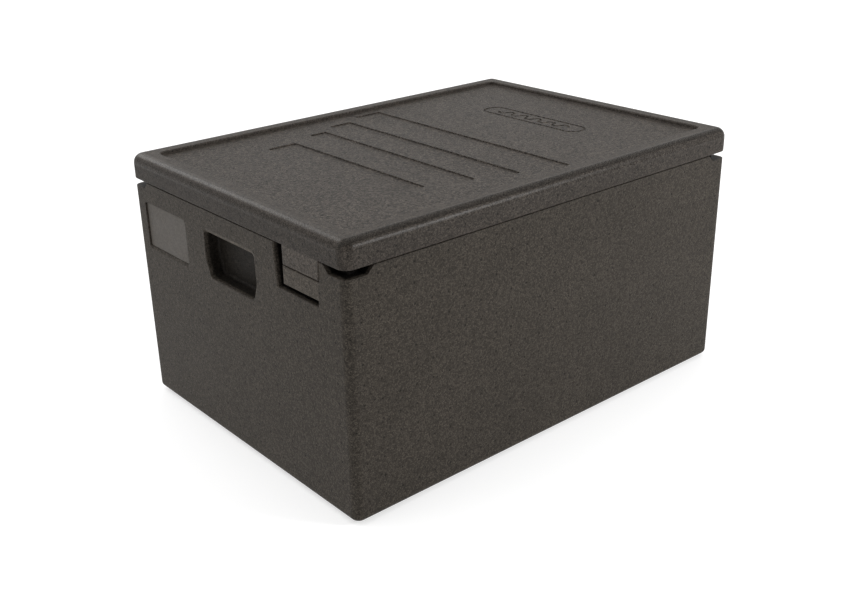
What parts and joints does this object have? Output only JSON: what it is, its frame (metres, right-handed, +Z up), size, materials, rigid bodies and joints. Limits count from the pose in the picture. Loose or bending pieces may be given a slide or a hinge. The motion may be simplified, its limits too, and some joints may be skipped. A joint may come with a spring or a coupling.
{
  "type": "insulated food carrier",
  "caption": "Top-loading foam food carrier: a thick-walled tub with end hand holds and a lift-off lid whose plug, skirt and end tabs locate on the tub's rim.",
  "frame": {"origin": "centre of the footprint, on the surface that the carrier stands on", "axes": "+X along the length, +Y across the width, +Z up; the two ends are the same, turned half a turn about Z"},
  "size_m": [0.69, 0.49, 0.363],
  "materials": {
    "body_foam": "moulded expanded polypropylene, fine bead texture, matt charcoal",
    "lid_foam": "moulded expanded polypropylene, fine bead texture, matt charcoal",
    "label_panel": "smooth satin grey"
  },
  "bodies": {
    "tub": {"body": "body_foam", "label_panel_left": "label_panel", "label_panel_right": "label_panel"},
    "cover": {"lid": "lid_foam"}
  },
  "joints": [
    {"name": "lid_lift", "type": "slide", "parent": "tub", "child": "cover", "axis": [0, 0, 1], "range_m": [0, 0.25]}
  ]
}
